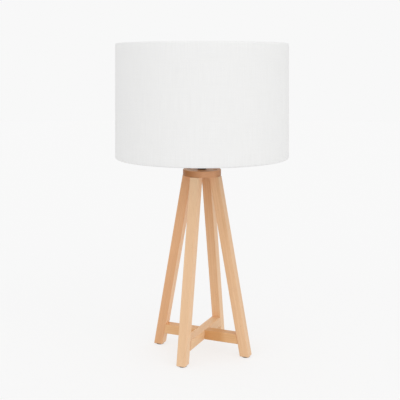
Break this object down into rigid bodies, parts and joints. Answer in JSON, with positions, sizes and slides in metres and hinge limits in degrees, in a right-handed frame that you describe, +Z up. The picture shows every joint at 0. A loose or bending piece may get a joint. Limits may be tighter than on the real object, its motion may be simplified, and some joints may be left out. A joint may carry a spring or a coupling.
{
  "type": "table lamp",
  "caption": "Table lamp on four splayed wooden legs with a crossed stretcher, a turned disc, a screw lampholder with bulb, and a white drum shade.",
  "frame": {"origin": "on the floor, on the lamp's axis, midway between the four feet", "axes": "+Z up along the lamp's axis, -Y towards the front leg, +X towards the right leg"},
  "size_m": [0.3028, 0.3028, 0.5503],
  "materials": {
    "wood_legs": "clear satin lacquer on pale beech",
    "wood_rails": "clear satin lacquer on pale beech",
    "wood_disc": "clear satin lacquer on pale beech",
    "dowel_wood": "bare fluted beech",
    "pad_rubber": "matt black rubber",
    "zinc_steel": "bright zinc plate",
    "bush_nylon": "black nylon",
    "holder_plastic": "moulded black thermoplastic, half gloss",
    "contact_ceramic": "unglazed white ceramic",
    "contact_brass": "plain brass",
    "bulb_nickel": "nickel-plated shell",
    "bulb_solder": "dull solder",
    "bulb_black_glass": "black insulator",
    "bulb_housing": "white moulded housing",
    "bulb_opal": "opal white diffuser",
    "bulb_board": "white-lacquered board",
    "carrier_white_steel": "white powder coat",
    "shade_lining": "white self-adhesive lining film",
    "shade_cloth": "plain-woven white cotton"
  },
  "bodies": {
    "base": {"leg_front": "wood_legs", "leg_right": "wood_legs", "leg_back": "wood_legs", "leg_left": "wood_legs", "foot_pad_front": "pad_rubber", "foot_pad_right": "pad_rubber", "foot_pad_back": "pad_rubber", "foot_pad_left": "pad_rubber", "top_disc": "wood_disc", "rail_lower": "wood_rails", "rail_upper": "wood_rails", "leg_screws": "zinc_steel", "leg_dowels": "dowel_wood", "rail_dowels": "dowel_wood", "threaded_tube": "zinc_steel", "tube_washer": "zinc_steel", "tube_nut": "zinc_steel", "cord_bush": "bush_nylon", "holder_cap": "holder_plastic", "contact_block": "contact_ceramic", "terminal_screws": "contact_brass", "centre_contact": "contact_brass", "screw_shell": "contact_brass", "holder_skirt": "holder_plastic"},
    "shade": {"fitter_ring": "carrier_white_steel", "fitter_arm_1": "carrier_white_steel", "fitter_arm_2": "carrier_white_steel", "fitter_arm_3": "carrier_white_steel", "bottom_ring": "carrier_white_steel", "top_ring": "carrier_white_steel", "shade_liner": "shade_lining", "shade_fabric": "shade_cloth"},
    "ring_nut": {"shade_ring": "holder_plastic"},
    "bulb_tip": {"bulb_contact": "bulb_solder"},
    "bulb": {"bulb_insulator": "bulb_black_glass", "bulb_cap": "bulb_nickel", "bulb_body": "bulb_housing", "bulb_globe": "bulb_opal", "led_board": "bulb_board"}
  },
  "joints": [
    {"name": "shade_turn", "type": "hinge", "parent": "base", "child": "shade", "pos_m": [0, 0, 0.3743], "axis": [0, 0, 1], "continuous": true},
    {"name": "ring_nut_turn", "type": "hinge", "parent": "base", "child": "ring_nut", "pos_m": [0, 0, 0.3764], "axis": [0, 0, 1], "range_deg": [0, 360]},
    {"name": "bulb_rise", "type": "slide", "parent": "base", "child": "bulb_tip", "axis": [0, 0, 1], "range_m": [0, 0.0218]},
    {"name": "bulb_unscrew", "type": "hinge", "parent": "bulb_tip", "child": "bulb", "pos_m": [0, 0, 0.367], "axis": [0, 0, 1], "range_deg": [0, 2160]}
  ],
  "couplings": [
    {"joint": "bulb_rise", "follows": "bulb_unscrew", "m_per_rad": 0.00057757}
  ]
}
